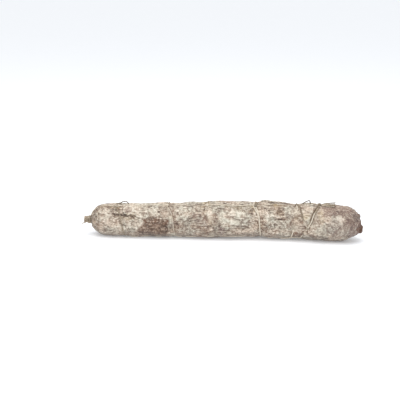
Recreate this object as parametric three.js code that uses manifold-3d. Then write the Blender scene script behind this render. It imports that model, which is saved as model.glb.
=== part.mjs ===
// A long dry-cured salami, tied by hand with hemp twine and lying on a flat surface.
// Lengths are millimetres and +Z is up. +X runs from the thin tied end to the thick blunt end.
// A place is a distance along X from the thin tip. An angle is measured around the salami from
// straight up, and grows towards -Y, the side on which the twine's knots lean.
import * as THREE from 'three';
import { mergeVertices } from 'three/addons/utils/BufferGeometryUtils.js';
import Module from 'manifold-3d';

const wasm = await Module();
wasm.setup();

const degrees = Math.PI / 180;
const goldenAngle = 2.399963;

// Overall length, and the point on the floor that becomes the origin, in places along and aside
const salamiLength = 445;
const origin = new THREE.Vector3(222.5, 7, 0);

// Half thickness of the body at places along it, before its ends close
const girth = [
  [30, 26.0], [60, 26.6], [92, 27.2], [112, 26.7], [128, 27.8], [150, 27.4], [186, 28.7],
  [218, 29.8], [256, 28.0], [300, 28.9], [335, 28.7], [385, 29.4], [405, 28.7], [445, 28.4],
];
// How far the middle of the body stands aside of a straight line, and above the floor
const bow = [
  [0, 0], [106, 4.3], [186, 6.5], [258, 9.3], [300, 11.2], [335, 9.8], [371, 5.8], [410, 2.4], [445, 0],
];
const axisHeight = [
  [0, 24.5], [60, 25.3], [120, 25.8], [160, 26.2], [200, 27.7], [256, 28.6], [300, 28.6], [340, 28.2],
  [385, 27.9], [410, 27.8], [428, 28.2], [445, 26],
];

// Thin end: the casing is gathered into a neck, tied, and cut off a little beyond
const neck = { start: 6.2, end: 12.6, middle: 9.4, radius: 3.8 };
const tuft = { flare: 2.4, rounding: 1.5 };
const shoulder = { length: 32, power: 2.1 };

// Thick end: a blunt dome, which ends in a dried nub with a small knob above it
const blunt = { start: 410, power: 2.3 };
const nub = { place: 441, angle: 156 * degrees, out: 7, base: 9.6, tip: 7, length: 11, sides: 9 };
const nubDroop = 14 * degrees;
const knob = { place: 439, angle: 14 * degrees, radius: 3.8, sunk: 0.4 };

// Unevenness of the filling: waves of [height, length along X, count around]
const fillingWaves = [
  [0.55, 118, 1], [0.5, 83, 2], [0.42, 61, 3], [0.38, 47, 2], [0.32, 37, 4], [0.28, 29, 3], [0.24, 23, 5],
];
// Pleats run out from both gathered ends, and fade with their reach along the body
const pleats = { count: 8, thinDepth: 1.5, bluntDepth: 1.1, bluntTurn: 1, reach: 15 };
// Single swellings and, below zero, hollows: a blister of loose casing, lumps of filling, and a
// sunken corner under the blunt tip
const swellings = [
  { place: 75.5, angle: 36 * degrees, height: 1.6, halfLength: 7.5, halfWidth: 6 },
  { place: 125, angle: 124 * degrees, height: 1.7, halfLength: 8, halfWidth: 8 },
  { place: 212, angle: 8 * degrees, height: 1.1, halfLength: 16, halfWidth: 11 },
  { place: 301, angle: 2 * degrees, height: 1.0, halfLength: 15, halfWidth: 9 },
  { place: 398, angle: 62 * degrees, height: 1.3, halfLength: 14, halfWidth: 14 },
  { place: 168, angle: 262 * degrees, height: 1.4, halfLength: 13, halfWidth: 12 },
  { place: 318, angle: 248 * degrees, height: 1.5, halfLength: 15, halfWidth: 10 },
  { place: 431, angle: 165 * degrees, height: -3.4, halfLength: 9, halfWidth: 19 },
];
// Below this half thickness the relief of the body, and then its pleats, fade out
const reliefFade = 20;
const pleatFade = 8;

// Twine, and the turns it takes round the body. A turn's place moves by slant from top to underside,
// and is pulled towards the thin end around an angle near its knot.
const twine = { radius: 1, sides: 6, step: 7.5, clearance: 0.8, lowest: 1.1 };
const turns = [
  { place: 60.8, slant: 8, pull: 8.5, pullAt: 16 * degrees, reach: 27 * degrees, knotAngle: 18 * degrees },
  { place: 145.2, slant: 4, pull: 12, pullAt: 0, reach: 40 * degrees, knotAngle: 17 * degrees },
  { place: 192.3, slant: 33, pull: -7, pullAt: 25 * degrees, reach: 13 * degrees, knotAngle: 25 * degrees },
  { place: 282.9, slant: 3, pull: 8, pullAt: 4 * degrees, reach: 44 * degrees, knotAngle: 26 * degrees },
  { place: 347, slant: -14, pull: 4.7, pullAt: 0, reach: 45 * degrees, knotAngle: 11 * degrees },
  { place: 377.5, slant: -31, pull: 2.5, pullAt: 50 * degrees, reach: 22 * degrees, knotAngle: 4 * degrees },
];
// The twine draws the body in: a wide waist, and a narrow groove right under the twine
const waist = { depth: 1.3, halfWidth: 9 };
const groove = { depth: 0.9, halfWidth: 2.4 };
// Where the twine passes underneath, it holds the skin off the floor
const underTwine = { height: 3.3, halfWidth: 3.6 };

const knot = { halfLength: 3.3, halfWidth: 2.8, halfHeight: 1.9, sunk: 0.2 };
// The run along the top leaves the neck at this angle and climbs the shoulder from this place
const topRunStart = { angle: 18 * degrees, lift: 2.4, foot: 14 };
// The run along the lower front comes highest at the third turn
const lowerRunAngles = [
  [0, 148 * degrees], [150, 147 * degrees], [204, 138 * degrees], [280, 147 * degrees], [400, 146 * degrees],
];
// A short strand draws the fifth and last turns together on the front, where the last is doubled
const drawn = {
  route: [[345.5, 26 * degrees], [347.5, 44 * degrees], [350.5, 64 * degrees], [354, 81 * degrees]],
  meetingAngle: 98 * degrees,
  apart: 2.4,
  knotSize: 0.8,
};
// Three cut ends lie along the top beyond the last knot, the middle one upon the others
const tail = { end: 402.5, shorter: 1.5, rise: 2.1, spread: 4 * degrees, stacked: 1.5 };
const neckTie = { wraps: 3, clearance: 1.4, valley: 0.6, crest: 1.8, sides: 16 };
const neckEnds = [
  { angle: 62 * degrees, length: 11, back: 7, droop: 3 },
  { angle: 98 * degrees, length: 10, back: 11, droop: 3 },
];

// Size of the skin's facets
const skinFacets = { ringSpacing: 5.5, fewestRings: 6, crowding: 0.62, around: 40 };

const clamp01 = (t) => Math.min(1, Math.max(0, t));
const bell = (t) => Math.exp(-t * t);
const smooth = (t) => clamp01(t) ** 2 * (3 - 2 * clamp01(t));
const wrapped = (angle) => Math.atan2(Math.sin(angle), Math.cos(angle));
const outward = (angle) => new THREE.Vector3(0, -Math.sin(angle), Math.cos(angle));

// A smooth curve through [place, value] stations, with each slope taken across the neighbours.
function along(stations, place) {
  const last = stations.length - 1;
  const x = Math.min(stations[last][0], Math.max(stations[0][0], place));
  const i = Math.min(last - 1, Math.max(0, stations.findIndex((s) => s[0] >= x) - 1));
  const [a, b] = [stations[i], stations[i + 1]];
  const before = stations[Math.max(0, i - 1)];
  const after = stations[Math.min(last, i + 2)];
  const span = b[0] - a[0];
  const slopeA = (b[1] - before[1]) / (b[0] - before[0]);
  const slopeB = (after[1] - a[1]) / (after[0] - a[0]);
  const t = (x - a[0]) / span;
  return a[1] * (1 + 2 * t) * (1 - t) ** 2 + b[1] * t * t * (3 - 2 * t)
    + slopeA * span * t * (1 - t) ** 2 - slopeB * span * t * t * (1 - t);
}

// Where a turn of twine lies at an angle around the body.
function turnPlace(turn, angle) {
  return turn.place + turn.slant * (1 - Math.cos(angle)) / 2
    - turn.pull * bell(wrapped(angle - turn.pullAt) / turn.reach);
}

// Half thickness of the body as its two ends close.
function closedGirth(place) {
  if (place <= neck.end) {
    const flared = neck.radius + tuft.flare * (1 - smooth(place / neck.start));
    return flared * Math.sqrt(1 - (1 - clamp01(place / tuft.rounding)) ** 2);
  }
  const climb = clamp01((place - neck.end) / shoulder.length);
  const swell = (1 - (1 - climb) ** shoulder.power) ** (1 / shoulder.power);
  const toTip = clamp01((place - blunt.start) / (salamiLength - blunt.start));
  const dome = Math.sqrt(1 - toTip ** blunt.power);
  return (neck.radius + (along(girth, place) - neck.radius) * swell) * dome;
}

function fillingUnevenness(place, angle) {
  return fillingWaves.reduce((sum, [height, length, count], i) => sum
    + height * Math.sin(2 * Math.PI * place / length + i * goldenAngle)
    * Math.cos(count * angle + i * i * goldenAngle), 0);
}

function swelling(place, angle, girthHere) {
  return swellings.reduce((sum, s) => sum + s.height
    * bell((place - s.place) / s.halfLength)
    * bell(wrapped(angle - s.angle) * girthHere / s.halfWidth), 0);
}

function pleating(place, angle) {
  const fromNeck = Math.max(0, place - neck.end) / pleats.reach;
  const fromTip = (salamiLength - place) / pleats.reach;
  return pleats.thinDepth * Math.exp(-fromNeck) * Math.cos(pleats.count * angle)
    + pleats.bluntDepth * Math.exp(-fromTip) * Math.cos(pleats.count * angle + pleats.bluntTurn);
}

function tieDip(place, angle) {
  return turns.reduce((sum, turn) => {
    const away = place - turnPlace(turn, angle);
    return sum + waist.depth * bell(away / waist.halfWidth) + groove.depth * bell(away / groove.halfWidth);
  }, 0);
}

function bodyRadius(place, angle) {
  const girthHere = closedGirth(place);
  const relief = fillingUnevenness(place, angle) + swelling(place, angle, girthHere) - tieDip(place, angle);
  return girthHere + relief * smooth(girthHere / reliefFade)
    + pleating(place, angle) * smooth(girthHere / pleatFade);
}

const axisPoint = (place) => new THREE.Vector3(place, along(bow, place), along(axisHeight, place));

function pointAbove(place, angle, lift) {
  return axisPoint(place).addScaledVector(outward(angle), bodyRadius(place, angle) + lift);
}

// The direction square to the skin.
function skinNormal(place, angle) {
  const step = 0.4;
  const turned = 1 * degrees;
  const lengthwise = pointAbove(place + step, angle, 0).sub(pointAbove(place - step, angle, 0));
  const around = pointAbove(place, angle + turned, 0).sub(pointAbove(place, angle - turned, 0));
  return around.cross(lengthwise).normalize();
}

// A point of the skin. The body has settled flat where it rests on the floor.
function skinPoint(place, angle) {
  const point = pointAbove(place, angle, 0);
  const held = turns.map((turn) => bell((place - turnPlace(turn, angle)) / underTwine.halfWidth));
  point.z = Math.max(underTwine.height * Math.max(...held), point.z);
  return point;
}

// The middle of a strand of twine that lies on the skin, or more above it.
function overSkin([place, angle], more = 0) {
  const lift = twine.radius + twine.clearance + more;
  const point = pointAbove(place, angle, 0).addScaledVector(skinNormal(place, angle), lift);
  point.z = Math.max(twine.lowest, point.z);
  return point;
}

// A manifold solid from a closed geometry, and back.
function toSolid(geometry) {
  geometry.deleteAttribute('normal');
  geometry.deleteAttribute('uv');
  const merged = mergeVertices(geometry, 1e-4);
  return new wasm.Manifold(new wasm.Mesh({
    numProp: 3,
    vertProperties: merged.attributes.position.array,
    triVerts: new Uint32Array(merged.index.array),
  }));
}

function toGeometry(solid) {
  const { vertProperties, triVerts } = solid.getMesh();
  const geometry = new THREE.BufferGeometry();
  geometry.setAttribute('position', new THREE.BufferAttribute(vertProperties, 3));
  geometry.setIndex(new THREE.BufferAttribute(triVerts, 1));
  geometry.computeVertexNormals();
  return geometry;
}

const centredOn = (geometry, point) => toSolid(geometry.translate(point.x, point.y, point.z));

// Mean place of each turn, between which the rings of facets are shared out
const turnMiddles = turns.map((turn) => turn.place + turn.slant / 2);
const anchors = [0, neck.end, ...turnMiddles, salamiLength];

// Places of the rings of facets, crowded together at each turn of twine and at both tips.
function ringPlaces() {
  const places = [0];
  for (let i = 1; i < anchors.length; i += 1) {
    const span = anchors[i] - anchors[i - 1];
    const count = Math.max(skinFacets.fewestRings, Math.round(span / skinFacets.ringSpacing));
    for (let j = 1; j <= count; j += 1) {
      const turn = 2 * Math.PI * j / count;
      places.push(anchors[i - 1] + span * (turn - skinFacets.crowding * Math.sin(turn)) / (2 * Math.PI));
    }
  }
  return places;
}

// A ring of facets runs beside the turns of twine, so its place shifts around the body as theirs do.
function shiftedPlace(place, angle) {
  const shifts = [0, 0, ...turns.map((turn, i) => turnPlace(turn, angle) - turnMiddles[i]), 0];
  const i = Math.max(1, anchors.findIndex((anchor) => anchor >= place));
  const t = (place - anchors[i - 1]) / (anchors[i] - anchors[i - 1]);
  return place + shifts[i - 1] * (1 - t) + shifts[i] * t;
}

// The body starts as a sphere, whose rows of vertices become the rings.
function bodySolid() {
  const places = ringPlaces();
  const skin = new THREE.SphereGeometry(1, skinFacets.around, places.length - 1);
  const position = skin.attributes.position;
  for (let row = 0, i = 0; row < places.length; row += 1) {
    for (let side = 0; side <= skinFacets.around; side += 1, i += 1) {
      const angle = -2 * Math.PI * (side % skinFacets.around) / skinFacets.around;
      const isTip = row === 0 || row === places.length - 1;
      const point = isTip ? axisPoint(places[row]) : skinPoint(shiftedPlace(places[row], angle), angle);
      position.setXYZ(i, point.x, point.y, point.z);
    }
  }
  return toSolid(skin);
}

function nubSolid() {
  const shape = new THREE.CylinderGeometry(nub.tip, nub.base, nub.length, nub.sides, 2);
  shape.rotateZ(-90 * degrees);
  shape.rotateY(nubDroop);
  return centredOn(shape, axisPoint(nub.place).addScaledVector(outward(nub.angle), nub.out));
}

function knobSolid() {
  const ball = new THREE.IcosahedronGeometry(knob.radius, 1);
  return centredOn(ball, pointAbove(knob.place, knob.angle, -knob.sunk));
}

// A length of twine along points, as a tube with flat cut ends.
function strand(points) {
  const path = new THREE.CatmullRomCurve3(points, false, 'centripetal');
  const corners = Array.from({ length: twine.sides }, (_, i) => {
    const turn = 2 * Math.PI * i / twine.sides;
    return new THREE.Vector2(twine.radius * Math.cos(turn), twine.radius * Math.sin(turn));
  });
  return toSolid(new THREE.ExtrudeGeometry(new THREE.Shape(corners), {
    steps: Math.max(2, Math.round(path.getLength() / twine.step)),
    extrudePath: path,
  }));
}

// Points at even steps of t from 0 to 1.
const sampled = (count, pointAt) => Array.from({ length: count + 1 }, (_, i) => pointAt(i / count));

// One turn round the body. Its two ends stop just short of each other, inside the knot.
function turnSolid(turn) {
  const gap = 1.3 * degrees;
  return strand(sampled(48, (t) => {
    const angle = turn.knotAngle + gap + (2 * Math.PI - 2 * gap) * t;
    return overSkin([turnPlace(turn, angle), angle]);
  }));
}

// A knot: a flattened ball on the skin.
function knotSolid([place, angle], size = 1) {
  const ball = new THREE.SphereGeometry(1, 8, 5);
  ball.scale(knot.halfLength * size, knot.halfWidth * size, knot.halfHeight * size);
  ball.rotateX(angle);
  const more = (knot.halfHeight - twine.radius) * size - knot.sunk;
  return centredOn(ball, overSkin([place, angle], more));
}

const knotSpot = (turn) => [turnPlace(turn, turn.knotAngle), turn.knotAngle];

// The run along the top starts at the neck, climbs the shoulder and passes through every knot.
function topRun() {
  const spots = [[neck.middle, topRunStart.angle], ...turns.map(knotSpot)];
  const end = spots[spots.length - 1][0];
  const climbing = sampled(60, (t) => {
    const place = topRunStart.foot + (end - topRunStart.foot) * t ** 1.6;
    return overSkin([place, along(spots, place)]);
  });
  return strand([pointAbove(neck.middle, topRunStart.angle, topRunStart.lift), ...climbing]);
}

// The run along the lower front goes from the first turn to the last.
function lowerRun() {
  const [start, end] = [turns[0], turns[turns.length - 1]]
    .map((turn) => turnPlace(turn, along(lowerRunAngles, turn.place)));
  return strand(sampled(40, (t) => {
    const place = start + (end - start) * t;
    return overSkin([place, along(lowerRunAngles, place)]);
  }));
}

function drawnStrands() {
  const [fifth, last] = turns.slice(-2);
  const meeting = [turnPlace(last, drawn.meetingAngle), drawn.meetingAngle];
  const across = [knotSpot(fifth), ...drawn.route, meeting];
  const beside = sampled(11, (t) => {
    const angle = last.knotAngle + (drawn.meetingAngle - last.knotAngle) * t;
    return overSkin([turnPlace(last, angle) - drawn.apart * Math.sin(Math.PI * t), angle]);
  });
  return [strand(across.map((spot) => overSkin(spot))), strand(beside), knotSolid(meeting, drawn.knotSize)];
}

function tailStrands() {
  const [startPlace, startAngle] = knotSpot(turns[turns.length - 1]);
  return [-1, 0, 1].map((side) => strand(sampled(5, (t) => {
    const fanned = smooth(2 * t);
    const place = startPlace + (tail.end - tail.shorter * Math.abs(side) - startPlace) * t;
    const above = (side === 0 ? tail.stacked * fanned : 0) + tail.rise * t * t;
    return overSkin([place, startAngle + side * tail.spread * fanned], above);
  })));
}

// The twine is wound round the neck, as a ring with a crest for each wrap.
function neckWinding() {
  const inner = neck.radius + neckTie.clearance;
  const half = neckTie.wraps * twine.radius;
  const profile = [new THREE.Vector2(inner, -half)];
  for (let i = 0; i <= 3 * neckTie.wraps; i += 1) {
    const bulge = i % 3 === 0 ? neckTie.valley : neckTie.crest;
    profile.push(new THREE.Vector2(inner + bulge * twine.radius, 2 * i / 3 * twine.radius - half));
  }
  profile.push(new THREE.Vector2(inner, half), profile[0].clone());
  const winding = new THREE.LatheGeometry(profile, neckTie.sides);
  return centredOn(winding.rotateZ(-90 * degrees), axisPoint(neck.middle));
}

// The two cut ends of the neck's winding stick out, and bend back past the tip.
function neckEndStrands() {
  const root = neck.radius + neckTie.clearance + twine.radius;
  return neckEnds.map(({ angle, length, back, droop }) => strand(sampled(2, (t) => axisPoint(neck.middle)
    .addScaledVector(outward(angle), root + (length - root) * t)
    .add(new THREE.Vector3(-back * t * t, 0, -droop * t * t)))));
}

const salamiSolid = () => bodySolid().add(nubSolid()).add(knobSolid());

const twineSolid = () => wasm.Manifold.union([
  ...turns.map(turnSolid),
  ...turns.map((turn) => knotSolid(knotSpot(turn))),
  topRun(), lowerRun(), ...drawnStrands(), ...tailStrands(), neckWinding(), ...neckEndStrands(),
]);

const casing = new THREE.MeshStandardMaterial({ color: 0xc7bbac, roughness: 0.92, metalness: 0 });
const hemp = new THREE.MeshStandardMaterial({ color: 0xc6b7a0, roughness: 0.88, metalness: 0 });

function named(name, solid, material) {
  const mesh = new THREE.Mesh(toGeometry(solid), material);
  mesh.name = name;
  return mesh;
}

const lying = new THREE.Group();
lying.add(named('salami', salamiSolid(), casing));
lying.add(named('twine', twineSolid(), hemp));
lying.position.copy(origin).negate();

const tiedSalami = new THREE.Group();
tiedSalami.add(lying);

export default tiedSalami;
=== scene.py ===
"""A long dry-cured salami in mouldy natural casing, tied with hemp twine, on a pale studio floor.

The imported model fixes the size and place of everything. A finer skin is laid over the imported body, with
its wrinkles, lumps and crust of mould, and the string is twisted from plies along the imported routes.

Shapes are worked out in millimetres and become metres as their meshes are written. A place is a distance
along +X from the thin tip. An angle is measured around the salami from straight up, and grows towards -Y,
the side of the camera.
"""

import logging
import math
from collections import defaultdict
from dataclasses import dataclass, field
from enum import Enum
from functools import partial, reduce
from itertools import product

import bmesh
import bpy
import numpy as np
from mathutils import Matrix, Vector
from mathutils.bvhtree import BVHTree
from mathutils.kdtree import KDTree


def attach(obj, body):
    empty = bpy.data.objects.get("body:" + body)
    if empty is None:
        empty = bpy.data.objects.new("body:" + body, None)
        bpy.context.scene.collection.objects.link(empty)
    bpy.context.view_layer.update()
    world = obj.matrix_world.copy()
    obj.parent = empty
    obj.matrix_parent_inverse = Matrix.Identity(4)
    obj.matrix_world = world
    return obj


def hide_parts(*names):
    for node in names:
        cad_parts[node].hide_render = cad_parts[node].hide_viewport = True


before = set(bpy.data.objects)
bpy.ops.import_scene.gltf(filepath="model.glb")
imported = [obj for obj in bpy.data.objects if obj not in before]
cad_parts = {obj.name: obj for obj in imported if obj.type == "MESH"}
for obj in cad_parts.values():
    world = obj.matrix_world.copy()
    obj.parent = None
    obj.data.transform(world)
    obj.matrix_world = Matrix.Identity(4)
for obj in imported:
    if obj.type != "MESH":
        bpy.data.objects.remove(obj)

Array = np.ndarray
Socket = bpy.types.NodeSocket
Piece = bpy.types.Object
Colour = tuple[int, int, int]
Rows = tuple[tuple[float, ...], ...]
Value = Socket | float | tuple[float, ...]

log = logging.getLogger("salami")
MM = 0.001
BODY = "root"
THIN_TIP_X = -222.5
BOW_OFFSET = 7.0
BODY_RADIUS = 28.0
SLIM_RADIUS = 27.0


class Slot(Enum):
    """The record's material slots."""

    CASING = "casing"
    TWINE = "twine"


def bell(t: Array) -> Array:
    """A smooth hump of height 1 at 0."""
    return np.exp(-np.square(t))


def smooth(t: Array) -> Array:
    """A smooth step from 0 at t = 0 to 1 at t = 1."""
    t = np.clip(t, 0.0, 1.0)
    return t * t * (3.0 - 2.0 * t)


def rise(t: Array, start: float | Array, length: float) -> Array:
    """A smooth step from 0 at a start to 1 a length further on, or further back if that is negative."""
    return smooth((t - start) / length)


def ring(t: Array, middle: float | Array, half_width: float) -> Array:
    """A smooth hump of height 1 at a middle."""
    return bell((t - middle) / half_width)


def wrapped(angle: Array) -> Array:
    """The same angle between -pi and pi."""
    return np.arctan2(np.sin(angle), np.cos(angle))


def unit(vectors: Array) -> Array:
    """The same vectors at length 1."""
    return vectors / np.maximum(np.linalg.norm(vectors, axis=-1, keepdims=True), 1e-9)


def outward(angle: Array) -> Array:
    """The direction away from the salami's middle at an angle around it."""
    return np.stack([np.zeros_like(angle), -np.sin(angle), np.cos(angle)], axis=-1)


def from_axis(points: Array, middle: Array) -> Array:
    """Distances of points from a line along X through a middle."""
    return np.linalg.norm((points - middle)[..., 1:], axis=-1)


class Noise:
    """Smooth seeded noise in space, between about -1 and 1."""

    def __init__(self, seed: int) -> None:
        """Shuffles the lattice of slopes.

        Args:
            seed: Number that fixes the pattern.
        """
        random = np.random.default_rng(seed)
        self.order = random.permutation(256)
        self.slopes = unit(random.normal(size=(256, 3)))

    def at(self, points: Array, size: float, stretch: float = 1.0) -> Array:
        """Noise at points.

        Args:
            points: Points in millimetres, in the last axis.
            size: Size of the noise's lumps in millimetres.
            stretch: How many times longer the lumps are along X.

        Returns:
            One value for each point.
        """
        scaled = points / (size * np.array([stretch, 1.0, 1.0]))
        cell = np.floor(scaled).astype(int)
        within = scaled - cell
        fade = within ** 3 * (within * (within * 6.0 - 15.0) + 10.0)
        total = np.zeros(points.shape[:-1])
        for corner in product((0, 1), repeat=3):
            key = np.zeros(points.shape[:-1], int)
            weight = np.ones(points.shape[:-1])
            for axis in range(3):
                key = self.order[(key + cell[..., axis] + corner[axis]) & 255]
                weight = weight * (fade[..., axis] if corner[axis] else 1.0 - fade[..., axis])
            total += weight * ((within - np.array(corner)) * self.slopes[key]).sum(axis=-1)
        return 1.6 * total

    def fractal(self, points: Array, size: float, octaves: int, stretch: float = 1.0) -> Array:
        """Noise with finer noise upon it, each octave half as large and about half as high.

        Args:
            points: Points in millimetres, in the last axis.
            size: Size of the largest lumps in millimetres.
            octaves: Count of sizes.
            stretch: How many times longer the lumps are along X.

        Returns:
            One value for each point.
        """
        return sum(
            self.at(points + 37.0 * i, size / 2 ** i, stretch) * 0.55 ** i for i in range(octaves)
        )


@dataclass(frozen=True)
class Course:
    """A smooth curve through (place, value) stations, with each slope taken across the neighbours."""

    stations: tuple[tuple[float, float], ...]

    def at(self, place: Array) -> Array:
        """Reads the curve.

        Args:
            place: Places, of which those beyond the ends count as the ends.

        Returns:
            The value at each place.
        """
        x, value = np.array(self.stations, float).T
        place = np.clip(place, x[0], x[-1])
        i = np.clip(np.searchsorted(x, place) - 1, 0, len(x) - 2)
        before, after = np.maximum(i - 1, 0), np.minimum(i + 2, len(x) - 1)
        span = x[i + 1] - x[i]
        slope_a = (value[i + 1] - value[before]) / (x[i + 1] - x[before])
        slope_b = (value[after] - value[i]) / (x[after] - x[i])
        t = (place - x[i]) / span
        return (
            value[i] * (1 + 2 * t) * (1 - t) ** 2 + value[i + 1] * t * t * (3 - 2 * t)
            + slope_a * span * t * (1 - t) ** 2 - slope_b * span * t * t * (1 - t)
        )


@dataclass(frozen=True)
class Spine:
    """The curved line through the middle of the body."""

    bow: Course = Course((
        (0, 0), (106, 4.3), (186, 6.5), (258, 9.3), (300, 11.2), (335, 9.8), (371, 5.8), (410, 2.4), (445, 0),
    ))
    height: Course = Course((
        (0, 24.5), (60, 25.3), (120, 25.8), (160, 26.2), (200, 27.7), (256, 28.6), (300, 28.6), (340, 28.2),
        (385, 27.9), (410, 27.8), (428, 28.2), (445, 26),
    ))

    def at(self, place: Array) -> Array:
        """Points of the spine at places."""
        place = np.asarray(place, float)
        return np.stack([place + THIN_TIP_X, self.bow.at(place) - BOW_OFFSET, self.height.at(place)], axis=-1)


@dataclass(frozen=True)
class Turn:
    """One turn of twine round the body. Its angles are in degrees.

    It crosses the top at its place and the underside a slant further on, and is pulled towards the thin tip
    around one angle. It is buried in mould by a share, to which each (angle, reach, share) of its hidden
    stretches adds. Its ridge is the mould that bridges it. The skin beside it is darkened with painted shade,
    deeper on one side, towards +X if positive.
    """

    place: float
    slant: float
    pull: float
    pull_at: float
    reach: float
    knot_angle: float
    buried: float
    shade_side: float = 0.0
    hidden: Rows = ()
    ridge_shift: float = 0.0
    ridge_width: float = 3.0
    dust: float = 0.55
    top_soil: float = 0.0

    def at(self, angle: Array) -> Array:
        """Places of the turn at angles around the body, in radians."""
        pulled = wrapped(angle - math.radians(self.pull_at)) / math.radians(self.reach)
        return self.place + self.slant * (1 - np.cos(angle)) / 2 - self.pull * bell(pulled)

    def cover(self, angle: Array) -> Array:
        """Tells how deep in mould the turn lies.

        Args:
            angle: Angles around the body, in radians.

        Returns:
            The depth at each angle, from 0 to 1.
        """
        depth = np.full(np.shape(angle), self.buried)
        for middle, reach, share in self.hidden:
            depth = depth + share * bell(wrapped(angle - math.radians(middle)) / math.radians(reach))
        return np.clip(depth, 0.0, 1.0)

    def knot(self) -> tuple[float, float]:
        """Place and angle of the knot, in degrees."""
        return float(self.at(np.float64(math.radians(self.knot_angle)))), self.knot_angle


TURNS = (
    Turn(60.8, 8, 8.5, 16, 27, 18, 0.45, 0.4, ((240, 60, -0.4),), dust=0.0),
    Turn(145.2, 4, 12, 0, 40, 17, 1.0, 0.7, ((262, 60, -0.7),), -2.2, 3.4),
    Turn(192.3, 33, -7, 25, 13, 25, 1.0, -0.5, ((265, 75, -0.85),), 1.5, 4.4),
    Turn(282.9, 3, 8, 4, 44, 26, 0.15, 0.8, ((60, 12, 0.3), (240, 40, 0.5))),
    Turn(347, -14, 4.7, 0, 45, 11, 0.1, 0.0, ((76, 32, 1.3), (290, 40, 0.5))),
    Turn(377.5, -31, 2.5, 50, 22, 4, 0.05, 1.0, ((116, 15, 0.95), (210, 40, 0.5)), top_soil=0.75),
)


TOP_RUN = Course(((9.4, 18.0), *[turn.knot() for turn in TURNS]))
LOWER_RUN = Course(((0, 148), (150, 147), (204, 138), (280, 147), (400, 146)))


def linked(mesh: bpy.types.Mesh) -> Piece:
    """Makes a smooth-shaded object of a mesh, at the origin.

    Args:
        mesh: The mesh, which bears the piece's name.

    Returns:
        The object, linked to the scene.
    """
    mesh.shade_smooth()
    piece = bpy.data.objects.new(mesh.name, mesh)
    bpy.context.scene.collection.objects.link(piece)
    return piece


def save_mesh(name: str, bm: bmesh.types.BMesh) -> Piece:
    """Writes a mesh and makes an object of it.

    Args:
        name: Name of the piece.
        bm: Its mesh in metres, which is freed.

    Returns:
        The object.
    """
    mesh = bpy.data.meshes.new(name)
    bm.to_mesh(mesh)
    bm.free()
    return linked(mesh)


def set_attribute(mesh: bpy.types.Mesh, name: str, values: Array) -> None:
    """Stores one number for each vertex of a mesh, for its material to read."""
    layer = mesh.attributes.new(name, "FLOAT", "POINT")
    layer.data.foreach_set("value", np.ascontiguousarray(values, np.float32))


def settle(piece: Piece, node: str, material: bpy.types.Material) -> None:
    """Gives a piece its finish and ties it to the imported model.

    Args:
        piece: The finished piece.
        node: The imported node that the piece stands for.
        material: Its finish.
    """
    piece.data.materials.append(material)
    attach(piece, BODY)
    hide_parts(node)
    log.info("%s: %d faces", piece.name, len(piece.data.polygons))


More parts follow.
